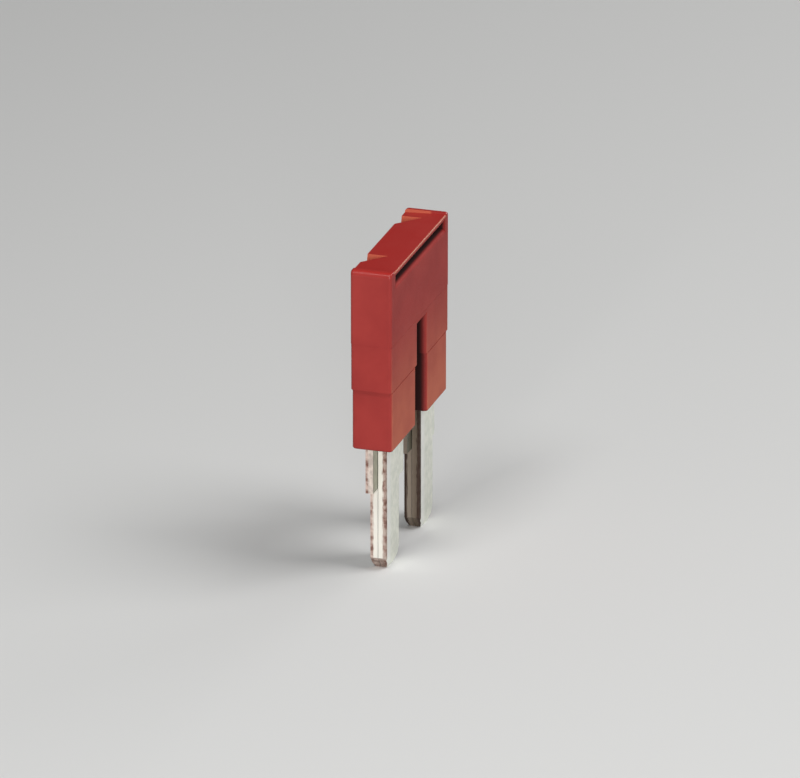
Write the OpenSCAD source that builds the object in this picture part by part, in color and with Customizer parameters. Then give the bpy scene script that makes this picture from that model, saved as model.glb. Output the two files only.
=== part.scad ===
// Plug-in jumper that bridges two neighbouring terminal blocks.
// A moulded insulating housing holds a contact comb, one sheet folded double into two blade prongs.
// The underside of the housing's legs lies at z = 0, midway between the prongs.
// The prongs point down, and the lever slot faces -Y.

/* [Poles] */
// Distance between the two poles
pitch = 8.2; // [7.4:0.1:12]

/* [Housing] */
// Thickness of the housing at its crown
body_t = 3.15; // [2.8:0.05:4]
// Height of the housing above the underside of its legs
body_h = 13.8; // [13.5:0.1:18]
// Height of the open slot between the legs
leg_h = 7.85; // [6.5:0.05:8.2]
// Height of the web between the slot and the crown's lower edge
web_h = 0.3; // [0.2:0.05:0.6]
// Length of the leg at the -X end past its pole
long_end = 3.05; // [2.4:0.05:3.6]
// Length of the leg at the +X end past its pole
short_end = 2.1; // [2:0.05:3.6]
// Reach of each leg from its pole towards the slot
leg_in = 2.75; // [2.4:0.05:2.9]
// Height of the collar's lower edge on each leg
collar_z = 4.65; // [2:0.05:6]
// How far the collar stands out past the leg at the housing's ends
collar_out = 0.25; // [0.1:0.05:0.5]
// How far the collar stands out past the leg into the slot
collar_in = 0.3; // [0.1:0.05:0.6]
// How far the collar steps back under the crown on the broad faces
crown_step = 0.02; // [0.02:0.01:0.1]
// How far each leg steps back under its collar on the broad faces
face_step = 0.04; // [0.02:0.01:0.1]
// Radius of the upright corners
corner_r = 0.3; // [0.1:0.05:0.5]
// Radius of the edges round the underside of each leg
foot_r = 0.15; // [0.05:0.05:0.4]
// Radius of the top edge at both ends
end_r = 0.4; // [0.2:0.05:0.8]
// Radius of the top edge along the back
back_r = 0.2; // [0.06:0.02:0.3]

/* [Lever slot] */
// Thickness of the lip over the lever slot
lip_t = 0.24; // [0.2:0.02:0.4]
// Radius of the lip's upper edge
lip_r = 0.12; // [0.04:0.02:0.18]
// Clear height of the lever slot
lever_h = 0.75; // [0.5:0.05:1]
// Depth of the lever slot into the front face
lever_d = 1.1; // [0.7:0.05:1.2]
// Radius of the rounded ledge below the lever slot
ledge_r = 0.38; // [0.1:0.02:0.6]
// Wall left at each end of the lever slot
lever_end = 0.9; // [0.5:0.1:2]

/* [Top] */
// Depth of each wedge notch at its front end
notch_front_d = 0.28; // [0.24:0.02:0.4]
// Depth of each wedge notch at the back face, beside its wall
notch_d = 0.9; // [0.5:0.05:1]
// Distance of each notch's wall past its pole
notch_wall = 0.75; // [0.4:0.05:1]
// Run of each notch's ramp along the back face
notch_run = 2.2; // [1.2:0.1:2.4]
// Reach of each notch from the back face
notch_reach = 1.6; // [0.8:0.1:1.7]
// Depth of the sloping field at the lip
lip_drop = 0.12; // [0.06:0.02:0.2]
// Depth of the sloping field at the back face
field_d = 0.28; // [0.22:0.02:0.44]
// Length of the rim left standing at each end of the field
field_end = 0.6; // [0.5:0.05:0.9]

/* [Contact comb] */
// Thickness of the folded sheet
sheet_t = 0.64; // [0.5:0.02:0.74]
// Gap left between the sheet's two leaves
leaf_gap = 0.05; // [0.02:0.01:0.1]
// Width of each prong
prong_w = 3.2; // [2.6:0.1:4]
// Length of each prong below the housing
prong_l = 9.8; // [8:0.1:14]
// Length of the one-sided shoulder on each leaf
shoulder_l = 3.45; // [2:0.05:6]
// How far a shoulder stands out beside its prong where the leg above has room
shoulder_w = 1.15; // [0.3:0.05:1.4]
// How far the shoulders stay inside the leg's outline
shoulder_inset = 0.05; // [0.02:0.01:0.3]
// Run of the lead-in at each side of a prong's tip
tip_run = 0.75; // [0.3:0.05:1.1]
// Rise of the lead-in at each side of a prong's tip
tip_rise = 0.95; // [0.4:0.05:1.6]
// Amount that each broad face of a tip is thinned by
tip_thin = 0.18; // [0.05:0.01:0.3]
// Height over which a tip is thinned
thin_rise = 0.45; // [0.2:0.05:0.8]
// Radius of the rolled edges along each prong
roll_r = 0.16; // [0.06:0.01:0.25]
// Height of the cross bar below its fold
bar_h = 2.6; // [1.6:0.1:3]
// Housing wall between the slot and the cross bar
bar_cover = 0.6; // [0.4:0.05:0.8]
// Play between the comb and its seat in the housing
seat_gap = 0.02; // [0.01:0.01:0.05]

/* [Hidden] */
$fn = 64;

// How far a cutter runs past the faces that it opens
over = 1;
// How far stacked housing blocks run into each other
lap = 0.2;

poles = [-pitch / 2, pitch / 2];
// First and last x of each leg
legs = [
    [poles[0] - long_end, poles[0] + leg_in],
    [poles[1] - leg_in, poles[1] + short_end]
];
body_x0 = legs[0][0] - collar_out;
body_x1 = legs[1][1] + collar_out;
crown_z = leg_h + web_h;
lip_z = body_h - lip_drop;
collar_t = body_t - 2 * crown_step;
leg_t = collar_t - 2 * face_step;
front_y = -body_t / 2;
back_y = body_t / 2;

comb_t = 2 * sheet_t + leaf_gap;
bar_x0 = poles[0] - prong_w / 2;
bar_x1 = poles[1] + prong_w / 2;
bar_z = leg_h + bar_cover;
fold_z = bar_z + bar_h;

// How far a shoulder can stand out where the leg reaches room past its pole.
function shoulder_run(room) = min(shoulder_w, room - prong_w / 2 - shoulder_inset);

// Rectangle round the origin with four round corners.
module rounded_rect(w, h, r) {
    square([w - 2 * r, h], center = true);
    square([w, h - 2 * r], center = true);
    for (sx = [-1, 1], sy = [-1, 1])
        translate([sx * (w / 2 - r), sy * (h / 2 - r)])
            circle(r);
}

// What comes off a square corner at the origin to round it; sx and sy say which way it points.
module corner_waste(r, sx, sy) {
    difference() {
        translate([sx > 0 ? -r : -over, sy > 0 ? -r : -over])
            square(r + over);
        translate([-sx * r, -sy * r])
            circle(r);
    }
}

// Upright block from x0 to x1 with round corners.
module column(x0, x1, t, r, z0, z1) {
    translate([(x0 + x1) / 2, 0, z0])
        linear_extrude(z1 - z0)
            rounded_rect(x1 - x0, t, r);
}

// Carries a profile drawn in X and Z through the thickness, from y0 to y1.
module along_y(y0, y1) {
    translate([0, y1, 0])
        rotate([90, 0, 0])
            linear_extrude(y1 - y0)
                children();
}

// Carries a profile drawn in Y and Z along the width, from x0 to x1.
module along_x(x0, x1) {
    translate([x0, 0, 0])
        rotate([90, 0, 90])
            linear_extrude(x1 - x0)
                children();
}

// Crown: the upper block that joins both legs, with its top edges rounded.
module crown() {
    intersection() {
        column(body_x0, body_x1, body_t, corner_r, crown_z, body_h);
        along_y(front_y - over, back_y + over)
            difference() {
                translate([body_x0 - over, 0])
                    square([body_x1 - body_x0 + 2 * over, body_h]);
                translate([body_x0, body_h])
                    corner_waste(end_r, -1, 1);
                translate([body_x1, body_h])
                    corner_waste(end_r, 1, 1);
            }
        along_x(body_x0 - over, body_x1 + over)
            difference() {
                translate([front_y - over, 0])
                    square([body_t + 2 * over, body_h]);
                translate([back_y, body_h])
                    corner_waste(back_r, 1, 1);
                translate([front_y, body_h])
                    corner_waste(lip_r, -1, 1);
            }
    }
}

// Web over the slot and the collars of both legs.
module collars() {
    column(body_x0, body_x1, collar_t, corner_r, leg_h, crown_z + lap);
    column(body_x0, legs[0][1] + collar_in, collar_t, corner_r, collar_z, leg_h + lap);
    column(legs[1][0] - collar_in, body_x1, collar_t, corner_r, collar_z, leg_h + lap);
}

// One leg below its collar, its bottom edges rounded as a lead-in.
module leg_block(x0, x1) {
    intersection() {
        column(x0, x1, leg_t, corner_r, 0, collar_z + lap);
        along_y(-leg_t / 2 - over, leg_t / 2 + over)
            foot_profile(x0, x1);
        along_x(x0 - over, x1 + over)
            foot_profile(-leg_t / 2, leg_t / 2);
    }
}

// Upright rectangle from a to b with both lower corners rounded.
module foot_profile(a, b) {
    difference() {
        translate([a, 0])
            square([b - a, collar_z + lap]);
        translate([a, 0])
            corner_waste(foot_r, -1, -1);
        translate([b, 0])
            corner_waste(foot_r, 1, -1);
    }
}

// Slot under the front lip, for the blade that levers the jumper out.
module lever_slot() {
    floor_z = lip_z - lip_t - lever_h;
    along_x(body_x0 + lever_end, body_x1 - lever_end) {
        translate([front_y - over, floor_z])
            square([lever_d + over, lever_h]);
        translate([front_y, floor_z])
            corner_waste(ledge_r, -1, 1);
    }
}

// Cut in the top that deepens from d0 at y0 to d1 at the back face and starts at reach before y0.
// It ends in a wall at x1, and along the back face its floor climbs by rise over run towards -X.
module back_cut(x1, y0, reach, d0, d1, run, rise) {
    fall = atan((d1 - d0) / (back_y - y0));
    lean = atan(cos(fall) * rise / run);
    length = run / cos(lean);
    translate([x1, y0, body_h - d0])
        rotate([-fall, 0, 0])
            rotate([0, lean, 0])
                translate([-length, -reach, 0])
                    cube([length, back_y - y0 + reach + over, d1 + over]);
}

// Field between the end rims that slopes to the back, with a wedge notch over each pole.
module top_recesses() {
    field_x0 = body_x0 + field_end;
    field_x1 = body_x1 - field_end;
    back_cut(field_x1, front_y, over, lip_drop, field_d, field_x1 - field_x0, 0);
    along_x(field_x0, field_x1)
        translate([front_y, lip_z])
            corner_waste(lip_r, -1, 1);
    for (x = poles)
        back_cut(x + notch_wall, back_y - notch_reach, 0, notch_front_d, notch_d, notch_run, notch_d);
}

// Outline of the comb inside the housing: two necks and the cross bar with its folded top edge.
module comb_core(gap, z0) {
    for (x = poles)
        translate([x, 0, 0])
            column(-prong_w / 2 - gap, prong_w / 2 + gap, comb_t + 2 * gap, roll_r, z0, bar_z + lap);
    along_x(bar_x0 - gap, bar_x1 + gap) {
        translate([-comb_t / 2 - gap, bar_z - gap])
            square([comb_t + 2 * gap, bar_h + gap]);
        translate([0, fold_z])
            circle(comb_t / 2 + gap);
    }
}

// One prong below the housing, with lead-ins on all four sides of its tip.
module blade() {
    intersection() {
        column(-prong_w / 2, prong_w / 2, comb_t, roll_r, -prong_l, lap);
        along_y(-comb_t, comb_t)
            tip_profile(prong_w / 2, tip_run, tip_rise);
        along_x(-prong_w, prong_w)
            tip_profile(comb_t / 2, tip_thin, thin_rise);
    }
}

// Upright strip whose lower end tapers in by run over rise.
module tip_profile(half, run, rise) {
    polygon([
        [-half, over],
        [-half, -prong_l + rise],
        [-half + run, -prong_l],
        [half - run, -prong_l],
        [half, -prong_l + rise],
        [half, over]
    ]);
}

// Shoulder on the back leaf of one prong, on its -X side and standing out by run.
module shoulder(run) {
    leaf_y = leaf_gap / 2;
    translate([-prong_w / 2 - run, 0, -shoulder_l])
        linear_extrude(shoulder_l)
            difference() {
                translate([0, leaf_y])
                    square([run + prong_w / 2, sheet_t]);
                translate([0, leaf_y + sheet_t])
                    corner_waste(roll_r, -1, 1);
            }
}

// Narrow gap that parts the two leaves, up to the inside of the fold.
module leaf_seam() {
    along_x(body_x0, body_x1) {
        translate([-leaf_gap / 2, -prong_l - over])
            square([leaf_gap, prong_l + over + fold_z]);
        translate([0, fold_z])
            circle(leaf_gap / 2);
    }
}

module housing() {
    color([0.72, 0.13, 0.12])
        difference() {
            union() {
                crown();
                collars();
                for (leg = legs)
                    leg_block(leg[0], leg[1]);
            }
            lever_slot();
            top_recesses();
            comb_core(seat_gap, -over);
        }
}

module contact_comb() {
    color([0.82, 0.82, 0.78])
        difference() {
            union() {
                comb_core(0, 0);
                for (i = [0, 1])
                    translate([poles[i], 0, 0]) {
                        blade();
                        shoulder(shoulder_run(poles[i] - legs[i][0]));
                        rotate([0, 0, 180])
                            shoulder(shoulder_run(legs[i][1] - poles[i]));
                    }
            }
            leaf_seam();
        }
}

housing();
contact_comb();
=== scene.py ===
# %% [markdown]
# # A plug-in jumper for terminal blocks
# The real object is a thumbnail-sized bridge: a red moulded housing round a folded strip of tinned
# copper, whose two blade prongs plug into neighbouring terminal blocks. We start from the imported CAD
# model, which fixes every size and place. Blender then gives each piece the soft edges and the
# finish that an exact solid leaves out.

# %% Load the frame
import math

import bmesh
import bpy
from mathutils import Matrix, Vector


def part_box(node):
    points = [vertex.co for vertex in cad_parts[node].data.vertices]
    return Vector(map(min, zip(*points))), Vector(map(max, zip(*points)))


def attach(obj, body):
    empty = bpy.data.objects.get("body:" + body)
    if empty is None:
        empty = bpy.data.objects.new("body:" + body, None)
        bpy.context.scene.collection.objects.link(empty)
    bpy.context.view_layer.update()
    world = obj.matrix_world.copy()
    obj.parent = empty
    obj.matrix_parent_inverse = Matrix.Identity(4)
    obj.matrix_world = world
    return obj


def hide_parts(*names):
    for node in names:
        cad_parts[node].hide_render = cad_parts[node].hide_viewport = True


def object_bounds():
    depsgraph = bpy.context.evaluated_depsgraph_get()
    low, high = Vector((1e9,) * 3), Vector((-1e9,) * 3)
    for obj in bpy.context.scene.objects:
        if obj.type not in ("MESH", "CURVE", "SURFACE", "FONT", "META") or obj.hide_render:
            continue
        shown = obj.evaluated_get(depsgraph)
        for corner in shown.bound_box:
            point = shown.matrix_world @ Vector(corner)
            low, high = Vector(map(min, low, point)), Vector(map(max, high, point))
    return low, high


MM = 0.001

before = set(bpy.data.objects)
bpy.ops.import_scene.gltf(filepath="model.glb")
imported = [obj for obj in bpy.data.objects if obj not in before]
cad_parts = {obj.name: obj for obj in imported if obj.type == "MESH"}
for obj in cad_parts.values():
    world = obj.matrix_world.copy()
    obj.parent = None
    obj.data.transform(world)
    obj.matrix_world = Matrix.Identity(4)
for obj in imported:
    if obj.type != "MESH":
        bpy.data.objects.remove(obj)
cad_low, cad_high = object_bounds()
house_low, house_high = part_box("housing")
comb_low, comb_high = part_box("contact_comb")
print("CAD box in mm:", [round(v / MM, 2) for v in (*cad_low, *cad_high)])

# %% [markdown]
# ## The camera
# The photo was taken from far off with a long lens, almost straight at one end of the housing and
# from a little above. A camera could be placed by eye, but here its angles and scale were fitted to
# the housing's corners. The long lens keeps the upright edges parallel, as they are in the photo.

# %% Place the camera
AZIMUTH = -72.61
ELEVATION = 21.26
CAMERA_DISTANCE = 0.877
CLIP_START, CLIP_END = 0.01, 20
IMAGE_WIDTH, IMAGE_HEIGHT = 800, 778
PIXELS_PER_METRE = 13860
HOUSING_MIDDLE_PIXEL = (401.6, 327.4)
SENSOR_MM = 36


def towards(azimuth, elevation):
    """Unit vector to a place, given in degrees round from the front and up from level."""
    a, e = math.radians(azimuth), math.radians(elevation)
    return Vector((math.sin(a) * math.cos(e), -math.cos(a) * math.cos(e), math.sin(e)))


to_camera = towards(AZIMUTH, ELEVATION)
image_right = towards(AZIMUTH + 90, 0)
image_up = to_camera.cross(image_right)

housing_middle = Vector((0, 0, (house_low.z + house_high.z) / 2))
shift_right = (IMAGE_WIDTH / 2 - HOUSING_MIDDLE_PIXEL[0]) / PIXELS_PER_METRE
shift_up = (HOUSING_MIDDLE_PIXEL[1] - IMAGE_HEIGHT / 2) / PIXELS_PER_METRE
aim = housing_middle + shift_right * image_right + shift_up * image_up

bpy.ops.object.select_all(action="DESELECT")
bpy.ops.object.camera_add(location=aim + CAMERA_DISTANCE * to_camera)
camera = bpy.context.active_object
camera.name = "photo_camera"
camera.rotation_euler = (-to_camera).to_track_quat("-Z", "Y").to_euler()
camera.data.sensor_width = SENSOR_MM
camera.data.lens = CAMERA_DISTANCE * PIXELS_PER_METRE * SENSOR_MM / IMAGE_WIDTH
camera.data.clip_start = CLIP_START
camera.data.clip_end = CLIP_END
bpy.context.scene.camera = camera
print("lens in mm:", round(camera.data.lens))

# %% [markdown]
# ## Shader nodes in code
# Every finish below is a small network of nodes. They could be wired one by one, but a few helpers make
# a network read from top to bottom like a recipe: one adds a node and sets or links its inputs by name,
# and the others add the two kinds of node that are needed most, sums and mixes of colours.

# %% Helpers for shaders
MIX_COLOURS, MIX_RESULT = (6, 7), 2


def add_node(tree, kind, options=None, **inputs):
    """Adds a node; an input is given as a value or as the output that feeds it."""
    node = tree.nodes.new(kind)
    for name, value in (options or {}).items():
        setattr(node, name, value)
    for name, value in inputs.items():
        connect(tree, node.inputs[name.replace("_", " ")], value)
    return node


def connect(tree, socket, value):
    """Sets a socket to a value, or links an output to it."""
    if isinstance(value, bpy.types.NodeSocket):
        tree.links.new(value, socket)
    else:
        socket.default_value = value


def calculate(tree, operation, *values):
    """Adds a Math node and hands back its result."""
    node = tree.nodes.new("ShaderNodeMath")
    node.operation = operation
    for socket, value in zip(node.inputs, values):
        connect(tree, socket, value)
    return node.outputs[0]


def blend(tree, amount, first, second):
    """Mixes two colours; a Mix node's colour sockets come after those for numbers and vectors."""
    node = add_node(tree, "ShaderNodeMix", {"data_type": "RGBA"}, Factor=amount)
    for index, colour in zip(MIX_COLOURS, (first, second)):
        connect(tree, node.inputs[index], colour)
    return node.outputs[MIX_RESULT]


def new_material(name):
    """Makes a node material and hands back the material, its tree and its shader."""
    material = bpy.data.materials.new(name)
    material.use_nodes = True
    return material, material.node_tree, material.node_tree.nodes["Principled BSDF"]


# %% [markdown]
# ## Floor and light
# A plain pale floor lies at the prongs' tips. The photo's deep shadows say that little light came up
# from below, so the floor is pale to the camera and in reflections, and darker to the light that it
# throws back. The photo's bright and dull faces could be painted, but lamps give them from any side. One
# stands before the near end and one hangs high before the broad side. A small one high behind the
# near end draws the bright line on its top edge, and a weak one beyond the far end grazes the lip.
# They are weak enough that a colour renders about as it is written.

# %% Lay the floor
FLOOR_SIZE = 6
FLOOR_ROUGHNESS = 0.9
PALE_FLOOR = (0.64, 0.64, 0.63, 1)
DIM_FLOOR = (0.2, 0.2, 0.19, 1)

bpy.ops.object.select_all(action="DESELECT")
bpy.ops.mesh.primitive_plane_add(size=FLOOR_SIZE, location=(0, 0, cad_low.z))
floor = bpy.context.active_object
floor.name = "floor"
floor_paint, tree, shader = new_material("pale_floor")
rays = add_node(tree, "ShaderNodeLightPath").outputs
seen = calculate(tree, "MAXIMUM", rays["Is Camera Ray"], rays["Is Glossy Ray"])
connect(tree, shader.inputs["Base Color"], blend(tree, seen, DIM_FLOOR, PALE_FLOOR))
shader.inputs["Roughness"].default_value = FLOOR_ROUGHNESS
floor.data.materials.append(floor_paint)
print("floor at mm:", round(cad_low.z / MM, 2))

# %% Hang the lamps
LAMP_DISTANCE = 0.35
SKY_COLOUR = (0.95, 0.97, 1, 1)
SKY_LEVEL = 0.05


def soft_lamp(name, azimuth, elevation, size, level):
    """Adds a square lamp that faces the housing; at level 1 it alone lights white paper to white."""
    to_lamp = towards(azimuth, elevation)
    bpy.ops.object.select_all(action="DESELECT")
    bpy.ops.object.light_add(type="AREA", location=housing_middle + LAMP_DISTANCE * to_lamp)
    lamp = bpy.context.active_object
    lamp.name = name
    lamp.rotation_euler = (-to_lamp).to_track_quat("-Z", "Y").to_euler()
    lamp.data.shape = "SQUARE"
    lamp.data.size = size
    lamp.data.energy = level * (math.pi * LAMP_DISTANCE) ** 2


soft_lamp("end_lamp", azimuth=-79, elevation=13, size=0.15, level=0.68)
soft_lamp("top_lamp", azimuth=-103, elevation=58, size=0.1, level=0.32)
soft_lamp("side_lamp", azimuth=10, elevation=55, size=0.2, level=0.65)
soft_lamp("rim_lamp", azimuth=70, elevation=20, size=0.15, level=0.18)

sky = bpy.data.worlds.new("studio")
bpy.context.scene.world = sky
sky.use_nodes = True
sky_light = sky.node_tree.nodes["Background"]
sky_light.inputs["Color"].default_value = SKY_COLOUR
sky_light.inputs["Strength"].default_value = SKY_LEVEL
bpy.context.scene.view_settings.view_transform = "Standard"

# %% [markdown]
# ## Working in millimetres
# Some of Blender's tools treat points that lie a thousandth of a millimetre apart as one, so tiny parts
# are best drawn larger. Each piece is drawn with one Blender unit for a millimetre and shrunk to
# its real size at the end. The helpers below add a block, open a mesh for editing, and pick faces or
# edges by their place, which is how a script does what a hand does with the mouse.

# %% Helpers for modelling
SAME_PLACE = 0.004
PARALLEL = 0.999
FACING = 0.9


def make_active(piece):
    """Makes the piece the only selected object and the active one."""
    bpy.ops.object.select_all(action="DESELECT")
    piece.select_set(True)
    bpy.context.view_layer.objects.active = piece


def add_block(name, span_x, span_y, span_z):
    """Adds a box that fills the three spans."""
    bpy.ops.object.select_all(action="DESELECT")
    middle = [(low + high) / 2 for low, high in (span_x, span_y, span_z)]
    bpy.ops.mesh.primitive_cube_add(size=1, location=middle)
    block = bpy.context.active_object
    block.name = name
    block.data.name = name
    block.scale = [high - low for low, high in (span_x, span_y, span_z)]
    bpy.ops.object.transform_apply(location=True, rotation=False, scale=True)
    return block


def open_for_editing(piece):
    """Enters edit mode on one piece, with nothing selected in it."""
    make_active(piece)
    bpy.ops.object.mode_set(mode="EDIT")
    bpy.ops.mesh.select_all(action="DESELECT")


def close_editing():
    bpy.ops.object.mode_set(mode="OBJECT")


def pick(piece, kind, test):
    """Selects the faces or edges of the open mesh that pass a test."""
    bpy.ops.mesh.select_mode(type=kind)
    bpy.ops.mesh.select_all(action="DESELECT")
    mesh = bmesh.from_edit_mesh(piece.data)
    for part in mesh.faces if kind == "FACE" else mesh.edges:
        if test(part):
            part.select_set(True)
    mesh.select_flush_mode()
    bmesh.update_edit_mesh(piece.data)


def near(a, b):
    return abs(a - b) < SAME_PLACE


def edge_middle(edge):
    return (edge.verts[0].co + edge.verts[1].co) / 2


def runs_along(edge, axis):
    """True for an edge that is parallel to the X, Y or Z axis."""
    direction = (edge.verts[1].co - edge.verts[0].co).normalized()
    return abs(direction["XYZ".index(axis)]) > PARALLEL


def faces_down(face):
    return face.normal.z < -FACING


# %% [markdown]
# ## The housing's blank
# The housing is one moulding. Its crown joins two legs, each with a collar and a slimmer foot that
# enters the terminal block. It could be stacked from boxes, but then each joint would show. One box for
# the crown, whose lower face is extruded downwards step by step, keeps it a single skin. The
# round corners are made on the crown first, so that every step below inherits them.

# %% Sizes of the housing
X0, X1 = house_low.x / MM, house_high.x / MM
BACK_Y = house_high.y / MM
FRONT_Y = -BACK_Y
TOP_Z = house_high.z / MM
PITCH = 8.2
LEG_REACH = 2.75
COLLAR_IN = 0.3

leg_inner = PITCH / 2 - LEG_REACH
slot_half = leg_inner - COLLAR_IN
print("slot between the collars in mm:", round(2 * slot_half, 2))

# %% Box the crown
CROWN_Z = 8.15
END_R = 0.4
ARC_STEPS = 8

housing = add_block("moulded_housing", (X0, X1), (FRONT_Y, BACK_Y), (CROWN_Z, TOP_Z))
open_for_editing(housing)
pick(housing, "EDGE", lambda e: runs_along(e, "Y") and near(edge_middle(e).z, TOP_Z))
bpy.ops.mesh.bevel(offset=END_R, segments=ARC_STEPS, affect="EDGES")
close_editing()
print("crown faces:", len(housing.data.polygons))

# %% Round the crown's edges
CORNER_R = 0.3
BACK_R = 0.2
LIP_R = 0.12


def edge_radius(edge):
    """Radius of an edge round the crown's front or back face, or 0 for any other edge."""
    middle = edge_middle(edge)
    same_face = near(edge.verts[0].co.y, edge.verts[1].co.y)
    if not same_face or near(middle.z, CROWN_Z):
        return 0
    top_radius = BACK_R if middle.y > 0 else LIP_R
    up_the_arc = max(0, 1 - (TOP_Z - middle.z) / END_R)
    return CORNER_R + up_the_arc * (top_radius - CORNER_R)


open_for_editing(housing)
mesh = bmesh.from_edit_mesh(housing.data)
weights = mesh.edges.layers.float.new("bevel_weight_edge")
for edge in mesh.edges:
    edge[weights] = edge_radius(edge) / CORNER_R
bmesh.update_edit_mesh(housing.data)
close_editing()

rounding = housing.modifiers.new("rounding", "BEVEL")
rounding.limit_method = "WEIGHT"
rounding.width = CORNER_R
rounding.segments = ARC_STEPS
rounding.use_clamp_overlap = False
bpy.ops.object.modifier_apply(modifier=rounding.name)
print("rounded crown faces:", len(housing.data.polygons))

# %% Helpers that extrude downwards
END_GROOVE = 0.004
FOOT_STEPS = 4


def inset(span, amount):
    return (span[0] + amount, span[1] - amount)


def extrude_down(piece, z, span_x, span_y):
    """Extrudes the selected face, moves it to height z and fits it to the two spans."""
    bpy.ops.mesh.extrude_region_move(TRANSFORM_OT_translate={"value": (0, 0, 0)})
    mesh = bmesh.from_edit_mesh(piece.data)
    points = [v.co for v in mesh.verts if v.select]
    low = Vector([min(p[i] for p in points) for i in range(3)])
    high = Vector([max(p[i] for p in points) for i in range(3)])
    wide = (span_x[1] - span_x[0]) / (high.x - low.x)
    thick = (span_y[1] - span_y[0]) / (high.y - low.y)
    bpy.ops.transform.resize(value=(wide, thick, 1), center_override=low)
    bpy.ops.transform.translate(value=(span_x[0] - low.x, span_y[0] - low.y, z - low.z))


def step_in(piece, z, to_x, to_y, groove):
    """Ends a block at height z and starts the narrower one below it under a fine shadow groove."""
    depth, height = groove
    bottom_x = inset(to_x, END_GROOVE)
    bottom_y = inset(to_y, depth)
    extrude_down(piece, z, bottom_x, bottom_y)
    extrude_down(piece, z - height, bottom_x, bottom_y)
    extrude_down(piece, z - height, to_x, to_y)


def round_over(piece, z, span_x, span_y, radius):
    """Extrudes the selected face down to z with its lower rim rounded in quarter-circle steps."""
    extrude_down(piece, z + radius, span_x, span_y)
    for step in range(1, FOOT_STEPS + 1):
        turn = math.pi / 2 * step / FOOT_STEPS
        rise = radius * (1 - math.sin(turn))
        shrink = radius * (1 - math.cos(turn))
        extrude_down(piece, z + rise, inset(span_x, shrink), inset(span_y, shrink))


# %% Extrude the web
LEG_HEIGHT = 7.85
END_STEP = 0.02
CROWN_STEP = 0.02
CROWN_GROOVE = (0.03, 0.04)

collar_x = inset((X0, X1), END_STEP)
collar_y = inset((FRONT_Y, BACK_Y), CROWN_STEP)


def slice_at_x(piece, x, test):
    """Cuts the faces that pass a test along an upright plane."""
    pick(piece, "FACE", test)
    bpy.ops.mesh.bisect(plane_co=(x, 0, 0), plane_no=(1, 0, 0))


open_for_editing(housing)
pick(housing, "FACE", faces_down)
step_in(housing, CROWN_Z, collar_x, collar_y, CROWN_GROOVE)
extrude_down(housing, LEG_HEIGHT, collar_x, collar_y)
for x in (-slot_half, slot_half):
    slice_at_x(housing, x, lambda f: faces_down(f) and near(f.calc_center_median().z, LEG_HEIGHT))
close_editing()
print("faces with the web:", len(housing.data.polygons))

# %% Extrude the legs
COLLAR_Z = 4.65
COLLAR_OUT = 0.25
FACE_STEP = 0.04
COLLAR_GROOVE = (0.08, 0.1)
FOOT_R = 0.15

leg_y = inset(collar_y, FACE_STEP)
legs = (
    ((collar_x[0], -slot_half), (X0 + COLLAR_OUT, -leg_inner)),
    ((slot_half, collar_x[1]), (leg_inner, X1 - COLLAR_OUT)),
)


def under_leg(face, inner_x, height):
    """True for a face that looks down at a height, on the leg that lies beyond inner_x."""
    middle = face.calc_center_median()
    return faces_down(face) and near(middle.z, height) and middle.x * inner_x > inner_x ** 2


def extrude_leg(collar_span, leg_span):
    """Extrudes a collar with round inner corners, and the slimmer foot below it."""
    inner_x = min(collar_span, key=abs)
    pick(housing, "FACE", lambda f: under_leg(f, inner_x, LEG_HEIGHT))
    extrude_down(housing, LEG_HEIGHT - END_STEP, collar_span, collar_y)
    extrude_down(housing, LEG_HEIGHT - CORNER_R, collar_span, collar_y)
    pick(housing, "EDGE", lambda e: runs_along(e, "Z") and near(edge_middle(e).x, inner_x)
         and edge_middle(e).z < LEG_HEIGHT - END_STEP)
    bpy.ops.mesh.bevel(offset=CORNER_R, segments=ARC_STEPS, affect="EDGES")
    pick(housing, "FACE", lambda f: under_leg(f, inner_x, LEG_HEIGHT - CORNER_R))
    extrude_down(housing, COLLAR_Z, collar_span, collar_y)
    step_in(housing, COLLAR_Z, leg_span, leg_y, COLLAR_GROOVE)
    round_over(housing, 0, leg_span, leg_y, FOOT_R)


open_for_editing(housing)
for collar_span, leg_span in legs:
    extrude_leg(collar_span, leg_span)
close_editing()
print("faces with the legs:", len(housing.data.polygons))

# %% [markdown]
# ## Cutting the lever slot and the top
# A screwdriver goes into the slot under the front lip to lever the jumper out, so the slot is deep,
# square at the top and rounded on the ledge below. It could be inset and pushed in, but in the mould a
# steel insert makes it, and a cutter does the same here: a block, extruded down in front of the housing,
# whose inner corner is bevelled. The cutter's rounded corner leaves the ledge rounded. The top between
# the end rims lies a little lower and slopes to the back. Its cutter is shaped the same way, so the lip's
# edge comes out rounded too. Over each pole a wedge runs out to the back face, cut with a block that is
# tilted both ways.

# %% Helpers that cut
OVER = 1


def round_front_edge(cutter, z, radius):
    """Extrudes the cutter down in front of the housing and bevels the corner that shapes an edge at z."""
    open_for_editing(cutter)
    bpy.ops.mesh.select_all(action="SELECT")
    bpy.ops.mesh.bisect(plane_co=(0, FRONT_Y, 0), plane_no=(0, 1, 0))
    pick(cutter, "FACE", lambda f: faces_down(f) and f.calc_center_median().y < FRONT_Y)
    bpy.ops.mesh.extrude_region_move(TRANSFORM_OT_translate={"value": (0, 0, -OVER)})
    pick(cutter, "EDGE", lambda e: runs_along(e, "X") and near(edge_middle(e).y, FRONT_Y)
         and near(edge_middle(e).z, z))
    bpy.ops.mesh.bevel(offset=radius, segments=ARC_STEPS, affect="EDGES")
    close_editing()


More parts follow.
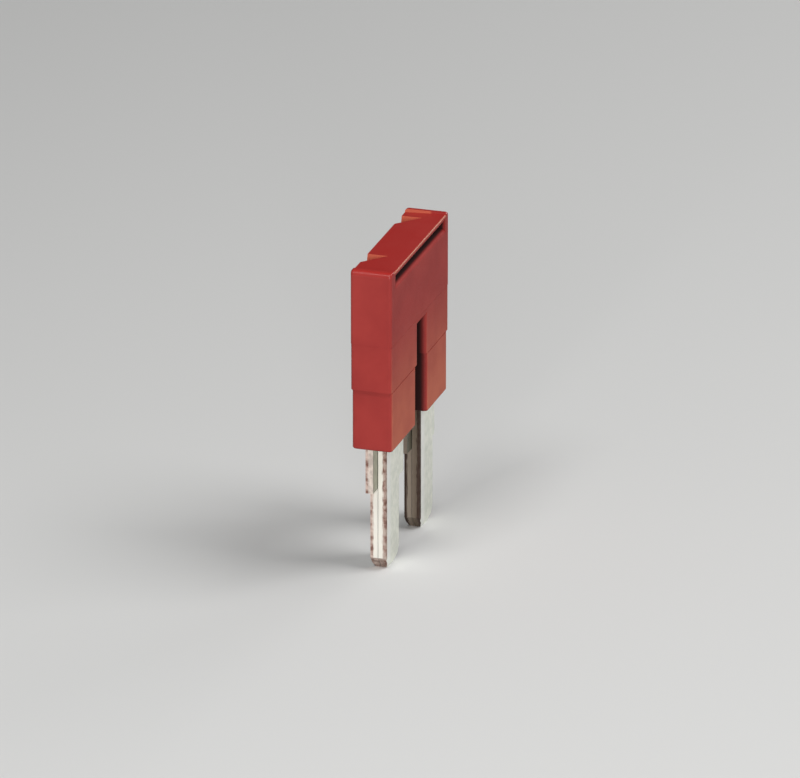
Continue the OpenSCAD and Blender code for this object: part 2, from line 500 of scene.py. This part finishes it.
def take_away(piece, cutter):
    """Subtracts a cutter from a piece and throws the cutter away."""
    make_active(piece)
    cut = piece.modifiers.new("cut", "BOOLEAN")
    cut.operation = "DIFFERENCE"
    cut.solver = "EXACT"
    cut.object = cutter
    bpy.ops.object.modifier_apply(modifier=cut.name)
    bpy.data.objects.remove(cutter)


# %% Cut the lever slot
LIP_DROP = 0.12
LIP_THICKNESS = 0.24
LEVER_HEIGHT = 0.75
LEVER_DEPTH = 1.1
LEVER_END = 0.9
LEDGE_R = 0.38

lip_z = TOP_Z - LIP_DROP
lever_floor = lip_z - LIP_THICKNESS - LEVER_HEIGHT
slot_cutter = add_block(
    "slot_cutter",
    (X0 + LEVER_END, X1 - LEVER_END),
    (FRONT_Y - OVER, FRONT_Y + LEVER_DEPTH),
    (lever_floor, lever_floor + LEVER_HEIGHT),
)
round_front_edge(slot_cutter, lever_floor, LEDGE_R)
take_away(housing, slot_cutter)
print("faces with the lever slot:", len(housing.data.polygons))

# %% Cut the field
FIELD_DEPTH = 0.28
FIELD_END = 0.6

field_cutter = add_block(
    "field_cutter",
    (X0 + FIELD_END, X1 - FIELD_END),
    (FRONT_Y - OVER, BACK_Y + OVER),
    (lip_z, TOP_Z + OVER),
)
round_front_edge(field_cutter, lip_z, LIP_R)
open_for_editing(field_cutter)
slope = (FIELD_DEPTH - LIP_DROP) / (BACK_Y - FRONT_Y)
pick(field_cutter, "EDGE", lambda e: runs_along(e, "X") and near(edge_middle(e).z, lip_z)
     and edge_middle(e).y > BACK_Y)
bpy.ops.transform.translate(value=(0, 0, -slope * (BACK_Y + OVER - FRONT_Y)))
close_editing()
take_away(housing, field_cutter)
print("faces with the field:", len(housing.data.polygons))

# %% Cut the notches
NOTCH_FRONT_DEPTH = 0.2
NOTCH_DEPTH = 0.9
NOTCH_WALL = 0.75
NOTCH_RUN = 2.2
NOTCH_REACH = 1.6

POLES = (-PITCH / 2, PITCH / 2)
fall = math.atan((NOTCH_DEPTH - NOTCH_FRONT_DEPTH) / NOTCH_REACH)
lean = math.atan(math.cos(fall) * NOTCH_DEPTH / NOTCH_RUN)
wedge_length = NOTCH_RUN / math.cos(lean)
for pole in POLES:
    wedge = add_block("notch_cutter", (-wedge_length, 0), (0, NOTCH_REACH + OVER), (0, NOTCH_DEPTH + OVER))
    wedge.rotation_mode = "YXZ"
    wedge.rotation_euler = (-fall, lean, 0)
    wedge.location = (pole + NOTCH_WALL, BACK_Y - NOTCH_REACH, TOP_Z - NOTCH_FRONT_DEPTH)
    bpy.ops.object.transform_apply(location=True, rotation=True, scale=True)
    take_away(housing, wedge)
print("faces with the notches:", len(housing.data.polygons))

# %% [markdown]
# ## The seat for the metal
# The plastic is moulded round the comb, so inside it there is a cavity of the comb's own shape: one neck
# up each leg and a bar across the crown. Only the mouths of the necks can be seen, from below. The seat
# could be left out, but then plastic and metal would fill the same space. So it is cut with blocks of
# the comb's shape, a hair larger all round.

# %% Cut the seat's necks
COMB_HALF = comb_high.y / MM
PRONG_HALF = 1.6
SEAT_GAP = 0.02
BAR_Z = 8.45
ROLL_R = 0.16

seat_y = (-COMB_HALF - SEAT_GAP, COMB_HALF + SEAT_GAP)
for pole in POLES:
    neck_span = (pole - PRONG_HALF - SEAT_GAP, pole + PRONG_HALF + SEAT_GAP)
    neck = add_block("neck_cutter", neck_span, seat_y, (-OVER, BAR_Z + OVER))
    open_for_editing(neck)
    pick(neck, "EDGE", lambda e: runs_along(e, "Z"))
    bpy.ops.mesh.bevel(offset=ROLL_R, segments=ARC_STEPS // 2, affect="EDGES")
    close_editing()
    take_away(housing, neck)
print("faces with the necks:", len(housing.data.polygons))

# %% Cut the seat's bar
FOLD_Z = 11.05
NEARLY_HALF = 0.98

bar_span = (POLES[0] - PRONG_HALF - SEAT_GAP, POLES[1] + PRONG_HALF + SEAT_GAP)
bar = add_block("bar_cutter", bar_span, seat_y, (BAR_Z - SEAT_GAP, FOLD_Z + seat_y[1]))
open_for_editing(bar)
pick(bar, "EDGE", lambda e: runs_along(e, "X") and edge_middle(e).z > FOLD_Z)
bpy.ops.mesh.bevel(offset=NEARLY_HALF * seat_y[1], segments=ARC_STEPS, affect="EDGES")
close_editing()
take_away(housing, bar)
print("faces with the seat:", len(housing.data.polygons))

# %% [markdown]
# ## Shading
# A moulding's flats look flat and its rounded edges flow. The Booleans leave stray doubles, so points
# that lie together are merged and the faces turned outwards. More and smaller faces could make the
# curves smooth, but shading does it for less: faces are shaded smooth up to a certain angle, which keeps
# the cut edges crisp, and weighted normals keep the broad faces flat next to their rounded corners.

# %% Merge and shade the housing
MERGE_GAP = 0.0005
SMOOTH_ANGLE = math.radians(38)


def face_outwards(piece):
    """Merges stray doubles of the open mesh and turns all its faces outwards."""
    bpy.ops.mesh.select_all(action="SELECT")
    bpy.ops.mesh.remove_doubles(threshold=MERGE_GAP)
    bpy.ops.mesh.normals_make_consistent(inside=False)
    if bmesh.from_edit_mesh(piece.data).calc_volume(signed=True) < 0:
        bpy.ops.mesh.flip_normals()


def shade(piece):
    """Shades a piece smooth, except at sharp edges and across its flat faces."""
    make_active(piece)
    bpy.ops.object.shade_smooth_by_angle(angle=SMOOTH_ANGLE)
    flat = piece.modifiers.new("flat_faces", "WEIGHTED_NORMAL")
    flat.keep_sharp = True
    bpy.ops.object.modifier_apply(modifier=flat.name)


def shrink_to_size(piece):
    """Scales a piece drawn in millimetres down to metres and applies the scale."""
    make_active(piece)
    piece.scale = (MM, MM, MM)
    bpy.ops.object.transform_apply(location=False, rotation=False, scale=True)


def complete(piece):
    """Makes a clean piece of its real size from the mesh that was drawn, and hands back its volume."""
    open_for_editing(piece)
    face_outwards(piece)
    volume = bmesh.from_edit_mesh(piece.data).calc_volume()
    close_editing()
    shade(piece)
    shrink_to_size(piece)
    return volume


volume = complete(housing)
print("housing faces:", len(housing.data.polygons), "volume in mm3:", round(volume, 1))

# %% [markdown]
# ## The contact comb
# The comb is stamped from sheet and folded double, so each prong has two leaves with a fine seam between
# them. It could be two plates side by side, but we draw it as it is made. The bar of the front leaf is a
# box, its top face is spun half a turn to make the fold, and the face that comes out behind is
# extruded down for the back leaf. Each leaf's blades are then extruded from the bar. A press pulls the
# sheet's edge in where it shears it, so the outer edges roll off gently. That is given to the bar's
# lower face once, and the blades inherit it.

# %% Fold the bar
LEAF_GAP = 0.03
FOLD_STEPS = 12
ROLL_PROFILE = ((0.0, 0.09), (0.18, 0.03), (0.5, 0.0))

front_leaf = (-COMB_HALF, -LEAF_GAP / 2)
back_leaf = (LEAF_GAP / 2, COMB_HALF)
comb = add_block(
    "folded_comb",
    (POLES[0] - PRONG_HALF, POLES[1] + PRONG_HALF),
    front_leaf,
    (BAR_Z, FOLD_Z),
)
open_for_editing(comb)
pick(comb, "FACE", lambda f: f.normal.z > FACING)
bpy.ops.mesh.spin(steps=FOLD_STEPS, angle=math.pi, center=(0, 0, FOLD_Z), axis=(1, 0, 0))
bpy.ops.mesh.extrude_region_move(TRANSFORM_OT_translate={"value": (0, 0, BAR_Z - FOLD_Z)})
for pole in POLES:
    for side in (-1, 1):
        for distance, _ in ROLL_PROFILE:
            slice_at_x(comb, pole + side * (PRONG_HALF - distance), lambda f: True)
face_outwards(comb)
close_editing()
print("bar faces:", len(comb.data.polygons))

# %% Extrude the blades
PRONG_TIP = comb_low.z / MM
SHOULDER_LENGTH = 3.45
SHOULDER_REACH = 1.15
SHOULDER_INSET = 0.05
TIP_RUN = 0.75
TIP_RISE = 0.95
TIP_THIN = 0.18
THIN_RISE = 0.45


def roll_edges(pole, leaf, side):
    """Pulls the selected face's outer side in towards its two ends, as a press does."""
    outer_y = max(leaf, key=abs)
    mesh = bmesh.from_edit_mesh(comb.data)
    for vert in mesh.verts:
        for distance, drop in ROLL_PROFILE:
            on_line = near(PRONG_HALF - abs(vert.co.x - pole), distance)
            if vert.select and on_line and near(vert.co.y, outer_y):
                vert.co.y -= side * drop
    bmesh.update_edit_mesh(comb.data)


def extrude_blade(pole, leg_span, leaf, side):
    """Extrudes one leaf of one prong: neck, one-sided shoulder, blade and lead-in tip."""
    blade = (pole - PRONG_HALF, pole + PRONG_HALF)

    def under_bar(face):
        middle = face.calc_center_median()
        inside = blade[0] < middle.x < blade[1] and leaf[0] < middle.y < leaf[1]
        return inside and faces_down(face) and near(middle.z, BAR_Z)

    pick(comb, "FACE", under_bar)
    extrude_down(comb, BAR_Z - SEAT_GAP, blade, leaf)
    roll_edges(pole, leaf, side)

    if side > 0:
        shoulder = (max(blade[0] - SHOULDER_REACH, leg_span[0] + SHOULDER_INSET), blade[1])
        thinned = (leaf[0], leaf[1] - TIP_THIN)
    else:
        shoulder = (blade[0], min(blade[1] + SHOULDER_REACH, leg_span[1] - SHOULDER_INSET))
        thinned = (leaf[0] + TIP_THIN, leaf[1])
    taper = TIP_RUN * (TIP_RISE - THIN_RISE) / TIP_RISE
    extrude_down(comb, 0, blade, leaf)
    extrude_down(comb, 0, shoulder, leaf)
    extrude_down(comb, -SHOULDER_LENGTH, shoulder, leaf)
    extrude_down(comb, -SHOULDER_LENGTH, blade, leaf)
    extrude_down(comb, PRONG_TIP + TIP_RISE, blade, leaf)
    extrude_down(comb, PRONG_TIP + THIN_RISE, inset(blade, taper), leaf)
    extrude_down(comb, PRONG_TIP, inset(blade, TIP_RUN), thinned)


open_for_editing(comb)
for pole, (_, leg_span) in zip(POLES, legs):
    extrude_blade(pole, leg_span, front_leaf, -1)
    extrude_blade(pole, leg_span, back_leaf, 1)
close_editing()
volume = complete(comb)
print("comb faces:", len(comb.data.polygons), "volume in mm3:", round(volume, 1))

# %% [markdown]
# ## One unevenness for every finish
# Nothing real has one flat colour. A picture could be wrapped round the part, but noise needs no seams
# and has detail at any distance. Both finishes below share a small node group that makes two patterns
# from an object's own coordinates: broad blotches and a fine grain, which can be drawn out along Z into
# streaks. Working from object coordinates keeps the patterns in place when the part moves.

# %% Build the shared node group
BLOTCH_DETAIL, GRAIN_DETAIL = 3, 2
BLOTCH_RANGE = (0.3, 0.7)
GRAIN_RANGE = (0.25, 0.75)


def fade(tree, value, low, high):
    """Hands back 0 at low, 1 at high and a smooth step between; low may be the larger number."""
    node = add_node(tree, "ShaderNodeMapRange", {"interpolation_type": "SMOOTHSTEP"}, Value=value)
    connect(tree, node.inputs["From Min"], low)
    connect(tree, node.inputs["From Max"], high)
    return node.outputs["Result"]


def make_uneven_group():
    """Node group: position and pattern sizes in, blotch and grain values from 0 to 1 out."""
    group = bpy.data.node_groups.new("uneven_finish", "ShaderNodeTree")
    group.interface.new_socket("Position", in_out="INPUT", socket_type="NodeSocketVector")
    for name in ("Blotch Size", "Grain Size", "Grain Stretch"):
        group.interface.new_socket(name, in_out="INPUT", socket_type="NodeSocketFloat")
    for name in ("Blotch", "Grain"):
        group.interface.new_socket(name, in_out="OUTPUT", socket_type="NodeSocketFloat")
    given = group.nodes.new("NodeGroupInput").outputs
    result = group.nodes.new("NodeGroupOutput").inputs

    blotch = add_node(
        group, "ShaderNodeTexNoise",
        Vector=given["Position"],
        Scale=calculate(group, "DIVIDE", 1, given["Blotch Size"]),
        Detail=BLOTCH_DETAIL,
    )
    connect(group, result["Blotch"], fade(group, blotch.outputs[0], *BLOTCH_RANGE))

    squash = add_node(group, "ShaderNodeCombineXYZ", X=1, Y=1)
    connect(group, squash.inputs["Z"], calculate(group, "DIVIDE", 1, given["Grain Stretch"]))
    stretched = add_node(group, "ShaderNodeVectorMath", {"operation": "MULTIPLY"})
    connect(group, stretched.inputs[0], given["Position"])
    connect(group, stretched.inputs[1], squash.outputs[0])
    grain = add_node(
        group, "ShaderNodeTexNoise",
        Vector=stretched.outputs[0],
        Scale=calculate(group, "DIVIDE", 1, given["Grain Size"]),
        Detail=GRAIN_DETAIL,
    )
    connect(group, result["Grain"], fade(group, grain.outputs[0], *GRAIN_RANGE))
    return group


uneven_group = make_uneven_group()
print("shared group nodes:", len(uneven_group.nodes))

# %% [markdown]
# ## Masks from place and facing
# A mark of wear is a mask: a value from 0 to 1 that says how much of another colour shows. Masks could be
# painted by hand, but then they would have to be painted again after each change of shape. These are
# worked out from where a point lies, in millimetres, and which way its face looks, so they follow the
# edges by themselves.

# %% Helpers for masks
def add_unevenness(tree, blotch_size, grain_size, grain_stretch):
    """Adds the shared group to a material, sizes in mm; hands back place, facing and patterns."""
    coordinates = add_node(tree, "ShaderNodeTexCoord").outputs
    in_mm = add_node(tree, "ShaderNodeVectorMath", {"operation": "SCALE"}, Scale=1 / MM)
    connect(tree, in_mm.inputs[0], coordinates["Object"])
    place = add_node(tree, "ShaderNodeSeparateXYZ", Vector=in_mm.outputs[0])
    facing = add_node(tree, "ShaderNodeSeparateXYZ", Vector=coordinates["Normal"])
    patterns = add_node(
        tree, "ShaderNodeGroup", {"node_tree": uneven_group},
        Position=in_mm.outputs[0],
        Blotch_Size=blotch_size,
        Grain_Size=grain_size,
        Grain_Stretch=grain_stretch,
    ).outputs
    return place.outputs, facing.outputs, patterns["Blotch"], patterns["Grain"]


def within(tree, value, low, high, edge):
    """Hands back 1 between low and high and 0 outside, with soft edges that lie inside the span."""
    rising = fade(tree, value, low, low + edge)
    falling = fade(tree, value, high - edge, high)
    return calculate(tree, "SUBTRACT", rising, falling)


def all_of(tree, *masks):
    """Multiplies masks."""
    result = masks[0]
    for mask in masks[1:]:
        result = calculate(tree, "MULTIPLY", result, mask)
    return result


def any_of(tree, *masks):
    """Hands back the strongest of several masks."""
    result = masks[0]
    for mask in masks[1:]:
        result = calculate(tree, "MAXIMUM", result, mask)
    return result


def patchy(tree, pattern, share):
    """Hands back 1, less up to a share of it where the pattern is low."""
    return calculate(tree, "MULTIPLY_ADD", pattern, share, 1 - share)


def paint(tree, colour, *coats):
    """Lays coats over a colour, each given as a mask and the colour that it shows."""
    for mask, coat in coats:
        colour = blend(tree, mask, colour, coat)
    return colour


# %% [markdown]
# ## The red plastic
# The housing is glass-filled polyamide with a fine spark-eroded texture, so it is satin rather than
# glossy: dark, clean red with a weak sheen, a little mottled in the mass. The grain could be modelled, but
# it is far finer than any face, so it is a shallow bump. Light and shade are painted into the red in
# places.
# The broad faces of the legs are painted paler and more orange towards the feet, as painted light from
# below and its reflection, and the faces that look up get a more saturated red that cancels their sheen.
# The walls of the top cuts that face the near end and the lip's edge are painted paler as painted
# highlights. The other rounded edges are polished by handling, and the lever slot and the slot between
# the legs are painted nearly black as painted shade.

# %% Tell the plastic's faces apart
BROAD_TURN = (0.7, 0.95)
ROUND_TURN = (0.998, 0.96)
UPWARD_TURN = (0.6, 0.9)
PLASTIC_BLOTCH = 2.5
PLASTIC_GRAIN = 0.08

plastic, tree, shader = new_material("satin_red_plastic")
place, facing, blotch, grain = add_unevenness(tree, PLASTIC_BLOTCH, PLASTIC_GRAIN, grain_stretch=1)
turned = [calculate(tree, "ABSOLUTE", facing[axis]) for axis in "XYZ"]
broad = fade(tree, turned[1], *BROAD_TURN)
rounded = fade(tree, any_of(tree, *turned), *ROUND_TURN)
upward = fade(tree, facing["Z"], *UPWARD_TURN)
print("plastic nodes for facing:", len(tree.nodes))

# %% Mark painted light on the plastic
SOFT = 0.1
BOUNCE_TOP = 10
BOUNCE_PATCHES = 0.3
NEAR_END_TURN = (-0.8, -0.9)
WALL_HIGHLIGHT_START_Y = -0.5

# Painted light: the legs' broad faces grow paler and more orange towards the feet, as light thrown up from
# below and its reflection.
painted_bounce_light = all_of(tree, broad, fade(tree, place["Z"], BOUNCE_TOP, 0), patchy(tree, blotch, BOUNCE_PATCHES))
notch_floor = TOP_Z - NOTCH_DEPTH
# Painted highlight: the walls of the top cuts that face the near end are painted paler, where they catch
# the light.
painted_wall_highlight = all_of(
    tree, fade(tree, facing["X"], *NEAR_END_TURN),
    fade(tree, place["X"], X0 + FIELD_END - 2 * SOFT, X0 + FIELD_END),
    fade(tree, place["Y"], WALL_HIGHLIGHT_START_Y, WALL_HIGHLIGHT_START_Y + 2 * SOFT),
    fade(tree, place["Z"], notch_floor - SOFT, notch_floor),
)
# Painted highlight: the lip's rounded edge is painted a paler red, a broad highlight line along it.
lip_edge = all_of(
    tree, rounded,
    within(tree, place["X"], X0 + FIELD_END, X1 - FIELD_END, SOFT),
    fade(tree, place["Y"], FRONT_Y + LIP_R, FRONT_Y + LIP_R - SOFT / 2),
    fade(tree, place["Z"], lip_z - 2 * LIP_R, lip_z - LIP_R),
)
print("plastic nodes for painted_light:", len(tree.nodes))

# %% Mark the ledge and the painted shade
LEDGE_TURN = (0.05, 0.3)
SLOT_SHADE = (0.05, 0.3)
SLOT_SINK = 0.25
GAP_SHADE = (1.5, 0.95)
SHADE_COVER = 0.95

slot_back = FRONT_Y + LEVER_DEPTH
ledge = all_of(
    tree, fade(tree, facing["Z"], *LEDGE_TURN),
    fade(tree, place["Y"], slot_back, slot_back - SOFT),
    within(tree, place["Z"], lever_floor - LEDGE_R, lever_floor + SOFT, SOFT),
)
# Painted shade: deep in the lever slot and between the legs the red is painted nearly black.
deep_in_slot = all_of(
    tree, within(tree, place["X"], X0 + LEVER_END - SOFT, X1 - LEVER_END + SOFT, SOFT),
    fade(tree, place["Y"], FRONT_Y + SLOT_SHADE[0], FRONT_Y + SLOT_SHADE[1]),
    fade(tree, place["Y"], slot_back + SOFT, slot_back),
    within(tree, place["Z"], lever_floor - SLOT_SINK, lip_z - LIP_THICKNESS + SOFT, SOFT),
)
deep_in_gap = all_of(
    tree, within(tree, place["X"], -leg_inner - SOFT, leg_inner + SOFT, SOFT / 2),
    fade(tree, calculate(tree, "ABSOLUTE", place["Y"]), *GAP_SHADE),
    fade(tree, place["Z"], LEG_HEIGHT + SOFT, LEG_HEIGHT),
)
painted_shade = calculate(tree, "MULTIPLY", any_of(tree, deep_in_slot, deep_in_gap), SHADE_COVER)
print("plastic nodes for painted_darkness:", len(tree.nodes))

# %% Mix the red
DEEP_RED = (0.335, 0.034, 0.030, 1)
LIGHT_RED = (0.385, 0.042, 0.036, 1)
TOP_RED_LESS_SHEEN = (0.37, 0.024, 0.020, 1)
BOUNCE_LIT_RED = (0.57, 0.150, 0.088, 1)
WALL_HIGHLIGHT_RED = (0.55, 0.120, 0.070, 1)
LIP_HIGHLIGHT_RED = (0.43, 0.115, 0.068, 1)
SHADE_BLACK = (0.014, 0.005, 0.005, 1)
SHEEN_CUT_PATCHES = 0.4

# Faces that look up are painted a more saturated red that cancels the sheen they reflect, in patches.
top_sheen_cut = all_of(tree, upward, calculate(tree, "MULTIPLY_ADD", blotch, -SHEEN_CUT_PATCHES, 1))
red = paint(
    tree, blend(tree, blotch, DEEP_RED, LIGHT_RED),
    (top_sheen_cut, TOP_RED_LESS_SHEEN),
    (painted_bounce_light, BOUNCE_LIT_RED),
    (painted_wall_highlight, WALL_HIGHLIGHT_RED),
    (lip_edge, LIP_HIGHLIGHT_RED),
    (painted_shade, SHADE_BLACK),
)
connect(tree, shader.inputs["Base Color"], red)
print("plastic nodes for colour:", len(tree.nodes))

# %% Give the plastic its satin
SATIN = 0.32
SATIN_GRAIN = 0.1
BROAD_MATT = 0.25
LEDGE_SHARE = 2
SHADE_MATT = 0.4
EDGE_POLISH = 0.17
LIP_UNPOLISHED = 0.8
SPECULAR_LEVEL = 0.22
GRAIN_STRENGTH = 0.25
GRAIN_DEPTH = 0.01 * MM

flat_broad = calculate(tree, "SUBTRACT", broad, rounded)
matt = any_of(tree, flat_broad, calculate(tree, "MULTIPLY", ledge, LEDGE_SHARE))
polished = calculate(tree, "SUBTRACT", rounded, calculate(tree, "MULTIPLY", lip_edge, LIP_UNPOLISHED))
roughness = calculate(tree, "MULTIPLY_ADD", grain, SATIN_GRAIN, SATIN)
for mask, change in ((matt, BROAD_MATT), (painted_shade, SHADE_MATT), (polished, -EDGE_POLISH)):
    roughness = calculate(tree, "MULTIPLY_ADD", mask, change, roughness)
connect(tree, shader.inputs["Roughness"], roughness)
shader.inputs["Specular IOR Level"].default_value = SPECULAR_LEVEL
texture = add_node(tree, "ShaderNodeBump", Height=grain, Strength=GRAIN_STRENGTH, Distance=GRAIN_DEPTH)
connect(tree, shader.inputs["Normal"], texture.outputs["Normal"])
housing.data.materials.clear()
housing.data.materials.append(plastic)
print("plastic nodes:", len(tree.nodes))

# %% [markdown]
# ## The tinned sheet
# The strip was tinned before it was stamped. Its broad faces are bright tin, drawn into fine streaks by
# the rollers. A whiter band along each free edge is a painted highlight, and the faces where two leaves
# face each other are painted dark as painted shade. The punch cut through to the copper and dragged some
# tin over it: each sheared edge shows a bare copper line that reaches round to the outside of the sheet,
# and a white smear of tin inside it. Where the two prongs face each other no tin was dragged along, so
# copper shows, painted dark brown as painted shade and darker towards the front. Each zone could be a face
# with a material of its own, but the smear wanders within a face, so one material tells the zones apart
# by masks.

# %% Tell the sheet's faces apart
TIN_BLOTCH = 0.5
TIN_STREAK = 0.06
STREAK_STRETCH = 10
CUT_TURN = (0.6, 0.3)
BARE_EDGE = (0.22, 0.15)
INWARD_TURN = (-0.5, -0.8)
OPPOSITE_SIDES = (0.5, -0.5)

tinned, tree, shader = new_material("tinned_copper_sheet")
place, facing, blotch, streak = add_unevenness(tree, TIN_BLOTCH, TIN_STREAK, STREAK_STRETCH)
prong_side = calculate(tree, "SIGN", place["X"])
leaf_side = calculate(tree, "SIGN", place["Y"])

prong_middle = calculate(tree, "MULTIPLY", prong_side, PITCH / 2)
from_middle = calculate(tree, "SUBTRACT", place["X"], prong_middle)
free_edge = calculate(tree, "MULTIPLY", from_middle, leaf_side)
bare_edge = fade(tree, free_edge, PRONG_HALF - BARE_EDGE[0], PRONG_HALF - BARE_EDGE[1])
cut_face = fade(tree, calculate(tree, "ABSOLUTE", facing["Y"]), *CUT_TURN)
sheared = any_of(tree, cut_face, bare_edge)

outward = calculate(tree, "MULTIPLY", facing["X"], prong_side)
inner_leaf = fade(tree, calculate(tree, "MULTIPLY", prong_side, leaf_side), *OPPOSITE_SIDES)
# Painted shade: faces that look towards the other prong, and the bare edge that faces it, get dark brown
# copper.
shaded_between_prongs = any_of(tree, fade(tree, outward, *INWARD_TURN), all_of(tree, bare_edge, inner_leaf))
print("tin nodes for facing:", len(tree.nodes))

# %% Mark where tin was smeared
SMEAR_HALF = 0.36
SMEAR_EDGE = 0.07
SMEAR_WANDER = 0.12
SMEAR_PATCHES = 0.4
TIP_TURN = (-0.4, -0.7)
SHOULDER_X = 5.75
SHOULDER_BARE = 0.55

wander = calculate(tree, "MULTIPLY_ADD", streak, SMEAR_WANDER, -SMEAR_WANDER / 2)
from_seam = calculate(tree, "ADD", calculate(tree, "ABSOLUTE", place["Y"]), wander)
past_smear = fade(tree, from_seam, SMEAR_HALF - SMEAR_EDGE, SMEAR_HALF + SMEAR_EDGE)
from_centre = calculate(tree, "ABSOLUTE", place["X"])
on_shoulder = fade(tree, from_centre, SHOULDER_X, SHOULDER_X + SMEAR_EDGE)
uncovered = any_of(
    tree, past_smear,
    fade(tree, facing["Z"], *TIP_TURN),
    calculate(tree, "MULTIPLY", on_shoulder, SHOULDER_BARE),
)
bare = all_of(tree, sheared, uncovered, patchy(tree, blotch, SMEAR_PATCHES))
print("tin nodes for smears:", len(tree.nodes))

# %% Mix the tin
DULL_TIN = (0.76, 0.79, 0.69, 1)
BRIGHT_TIN = (1.0, 1.0, 0.92, 1)
SEAM_SHADE_TIN = (0.34, 0.35, 0.29, 1)
EDGE_HIGHLIGHT_TIN = (1.0, 1.0, 0.97, 1)
SMEARED_TIN = (0.97, 0.93, 0.84, 1)
EDGE_HIGHLIGHT_BAND = (1.3, 0.5)
EDGE_HIGHLIGHT_STREAKS = 0.6

# Painted highlight: a whiter, streaked band along each free edge of the broad faces.
near_edge = fade(tree, free_edge, PRONG_HALF - EDGE_HIGHLIGHT_BAND[0], PRONG_HALF - EDGE_HIGHLIGHT_BAND[1])
whole = calculate(tree, "SUBTRACT", 1, sheared)
painted_edge_highlight = all_of(tree, near_edge, whole, patchy(tree, streak, EDGE_HIGHLIGHT_STREAKS))
# Painted shade: faces that look into the seam between the leaves are painted dark tin.
in_the_seam = fade(tree, calculate(tree, "MULTIPLY", facing["Y"], leaf_side), *INWARD_TURN)
mottled = calculate(tree, "DIVIDE", calculate(tree, "ADD", blotch, streak), 2)
tin = paint(
    tree, blend(tree, mottled, DULL_TIN, BRIGHT_TIN),
    (in_the_seam, SEAM_SHADE_TIN),
    (painted_edge_highlight, EDGE_HIGHLIGHT_TIN),
    (sheared, SMEARED_TIN),
)
print("tin nodes for the plating:", len(tree.nodes))

# %% Mix the copper
COPPER = (0.56, 0.34, 0.28, 1)
DARK_COPPER = (0.23, 0.115, 0.088, 1)
SHADED_COPPER_EDGE = (0.09, 0.058, 0.046, 1)
SHADED_COPPER_FRONT = (0.21, 0.162, 0.118, 1)
SHADED_COPPER_BACK = (0.43, 0.352, 0.280, 1)
FRONT_LEAF = (0.1, -0.1)
FRONT_DARKNESS = 0.6
FRONT_TO_BACK = (-0.3, 0.3)

on_front = fade(tree, place["Y"], *FRONT_LEAF)
darkened = any_of(tree, blotch, calculate(tree, "MULTIPLY", on_front, FRONT_DARKNESS))
# The painted shade on the copper is darker towards the front.
brown = blend(tree, fade(tree, place["Y"], *FRONT_TO_BACK), SHADED_COPPER_FRONT, SHADED_COPPER_BACK)
sheet = paint(
    tree, tin,
    (bare, blend(tree, darkened, COPPER, DARK_COPPER)),
    (shaded_between_prongs, blend(tree, past_smear, brown, SHADED_COPPER_EDGE)),
)
connect(tree, shader.inputs["Base Color"], sheet)
print("tin nodes for colour:", len(tree.nodes))

# %% Give the sheet its gloss
WHITENESS = 0.6
GLOSS = 0.3
BLOTCH_DULLNESS = 0.15
SHEARED_DULLNESS = 0.2
SCRATCH_STRENGTH = 0.3
SCRATCH_DEPTH = 0.01 * MM

smeared = all_of(tree, sheared, calculate(tree, "SUBTRACT", 1, bare))
# The smear and the painted edge highlight are less metallic, so they read whiter.
smear_and_edge_highlight = any_of(tree, smeared, painted_edge_highlight)
connect(tree, shader.inputs["Metallic"], calculate(tree, "MULTIPLY_ADD", smear_and_edge_highlight, -WHITENESS, 1))
dullness = calculate(tree, "MULTIPLY_ADD", blotch, BLOTCH_DULLNESS, GLOSS)
dullness = calculate(tree, "MULTIPLY_ADD", sheared, SHEARED_DULLNESS, dullness)
connect(tree, shader.inputs["Roughness"], dullness)
scratches = add_node(
    tree, "ShaderNodeBump", Height=streak, Strength=SCRATCH_STRENGTH, Distance=SCRATCH_DEPTH)
connect(tree, shader.inputs["Normal"], scratches.outputs["Normal"])
comb.data.materials.clear()
comb.data.materials.append(tinned)
print("tin nodes:", len(tree.nodes))

# %% [markdown]
# ## Handing over
# Each dressed piece now takes the place of the CAD solid that it stands for, which is hidden but stays
# for the physics. A piece could be parented by hand, but this call also writes down the body that it
# rides on. Dressing must not make the part larger.

# %% Finish
for piece, node, slot in ((housing, "housing", "red_plastic"), (comb, "contact_comb", "tinned_copper")):
    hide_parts(node)
    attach(piece, "root")
